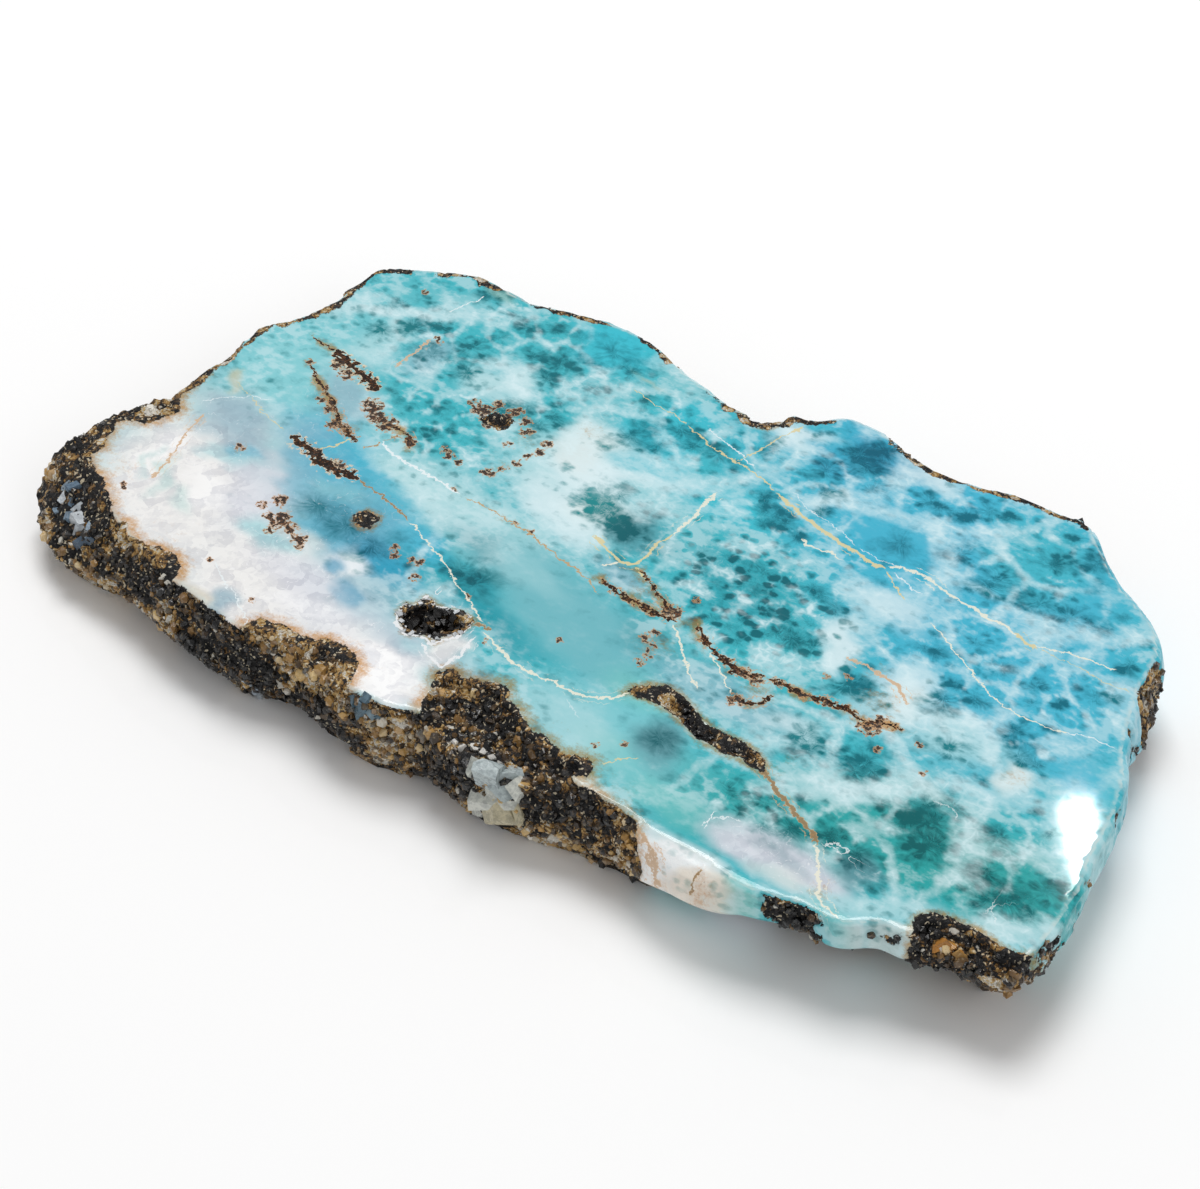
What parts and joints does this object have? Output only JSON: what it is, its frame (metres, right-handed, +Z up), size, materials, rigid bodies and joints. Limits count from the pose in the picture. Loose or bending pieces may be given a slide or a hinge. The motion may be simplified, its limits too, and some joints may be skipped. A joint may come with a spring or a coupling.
{
  "type": "polished larimar slab",
  "caption": "Free-form slab of blue larimar, sawn flat below and polished flat on top, with a rough dark lava rind round its edge.",
  "frame": {"origin": "on the plane that the sawn underside rests on, under the middle of the stone's bounding box", "axes": "+X along the slab's long side, towards its wide end, away from the white quartz and the dark rind; +Y across it, away from the edge with the brown bay; +Z up, out of the polished face"},
  "size_m": [0.1336, 0.073, 0.011],
  "materials": {
    "larimar": "polished face, rough dark lava rind round the edge, matte sawn underside"
  },
  "bodies": {
    "root": {"larimar_slab": "larimar"}
  },
  "joints": []
}
